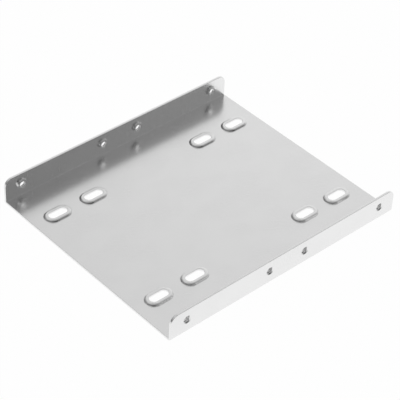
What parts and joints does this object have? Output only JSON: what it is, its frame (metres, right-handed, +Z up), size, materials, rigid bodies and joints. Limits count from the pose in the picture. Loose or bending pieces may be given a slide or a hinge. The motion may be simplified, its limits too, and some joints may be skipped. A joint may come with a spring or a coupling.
{
  "type": "drive bay adapter bracket",
  "caption": "Folded sheet metal tray that carries a small drive in a wider drive bay, with slots in raised pads and tapped holes in two side flanges.",
  "frame": {"origin": "middle of the underside of the base", "axes": "+X along the folds, +Y across them, +Z up from the base towards the flanges' free edges"},
  "size_m": [0.1176, 0.1016, 0.0114],
  "materials": {
    "plated_steel": "bright plated sheet steel, smooth satin"
  },
  "bodies": {
    "root": {"bracket": "plated_steel"}
  },
  "joints": []
}
